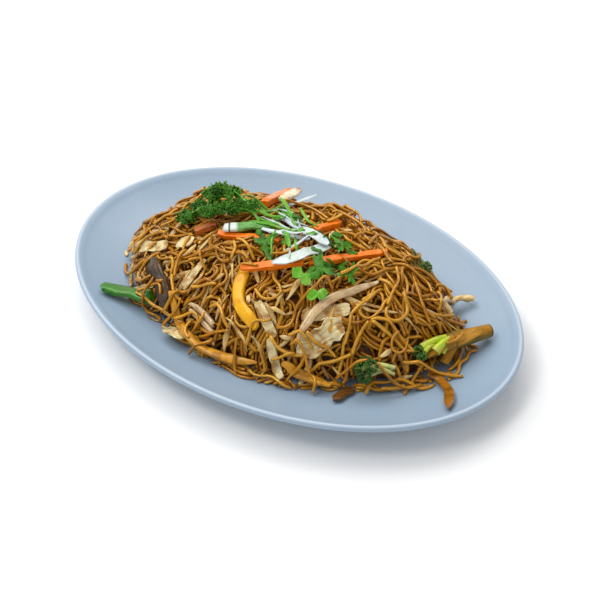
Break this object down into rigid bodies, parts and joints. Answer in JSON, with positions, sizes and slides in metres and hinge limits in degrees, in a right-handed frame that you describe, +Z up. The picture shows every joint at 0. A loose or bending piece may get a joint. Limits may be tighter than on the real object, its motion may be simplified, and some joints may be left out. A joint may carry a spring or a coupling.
{
  "type": "stir-fried noodles on an oval platter",
  "caption": "Heap of stir-fried egg noodles with shredded vegetables and a sprig of curly parsley, served on a pale oval coupe platter with a foot ring.",
  "frame": {"origin": "on the table under the middle of the platter, at the plane of its foot ring", "axes": "+X along the platter's longer axis, +Y across it towards the far side, +Z up"},
  "size_m": [0.34, 0.238, 0.0813],
  "materials": {
    "noodle": "oily, sauce-glazed golden brown",
    "parsley": "fresh dark green",
    "porcelain": "glossy pale blue-grey glaze",
    "stalk": "sauce-stained yellow green",
    "broccoli": "fine-grained dark green",
    "red_onion": "translucent pinkish brown",
    "sauce": "sauce-coated orange brown",
    "yellow_pepper": "wet golden yellow",
    "browned": "dark caramelised brown",
    "green_pepper": "wet dark green",
    "mushroom": "soft dark brown",
    "pale": "cooked cream with light browning",
    "spring_onion": "moist pale green",
    "white": "moist translucent white",
    "leaf": "fresh green",
    "carrot": "moist bright orange",
    "stewed_carrot": "sauce-stained dull orange"
  },
  "bodies": {
    "root": {"noodle_heap": "noodle", "parsley_sprig": "parsley", "plate": "porcelain", "broccoli_stalk": "stalk", "broccoli_floret_2": "broccoli", "broccoli_floret_1": "broccoli", "red_onion_strip": "red_onion", "orange_pepper_strip_1": "sauce", "yellow_pepper_strip": "yellow_pepper", "brown_pepper_strip": "browned", "green_pepper_strip": "green_pepper", "mushroom_slice": "mushroom", "orange_pepper_strip_2": "sauce", "cabbage_piece_2": "pale", "cabbage_piece_5": "pale", "cabbage_piece_6": "pale", "cabbage_piece_7": "pale", "red_onion_layers": "red_onion", "spring_onion": "spring_onion", "white_shred_3": "white", "cabbage_piece_1": "pale", "cabbage_piece_4": "pale", "cabbage_piece_8": "pale", "white_shred_1": "white", "white_shred_2": "white", "white_shred_4": "white", "bean_sprout_1": "pale", "coriander_leaf_1": "leaf", "coriander_leaf_2": "leaf", "coriander_leaf_3": "leaf", "coriander_leaf_4": "leaf", "coriander_leaf_5": "leaf", "coriander_leaf_6": "leaf", "coriander_leaf_7": "leaf", "cabbage_piece_3": "pale", "browned_onion_tip": "browned", "white_shred_5": "white", "bean_sprout_2": "pale", "pale_stem": "pale", "carrot_stick_2": "carrot", "carrot_stick_3": "carrot", "carrot_stick_4": "carrot", "carrot_stick_1": "stewed_carrot", "carrot_stick_5": "carrot", "carrot_stick_6": "carrot"}
  },
  "joints": []
}
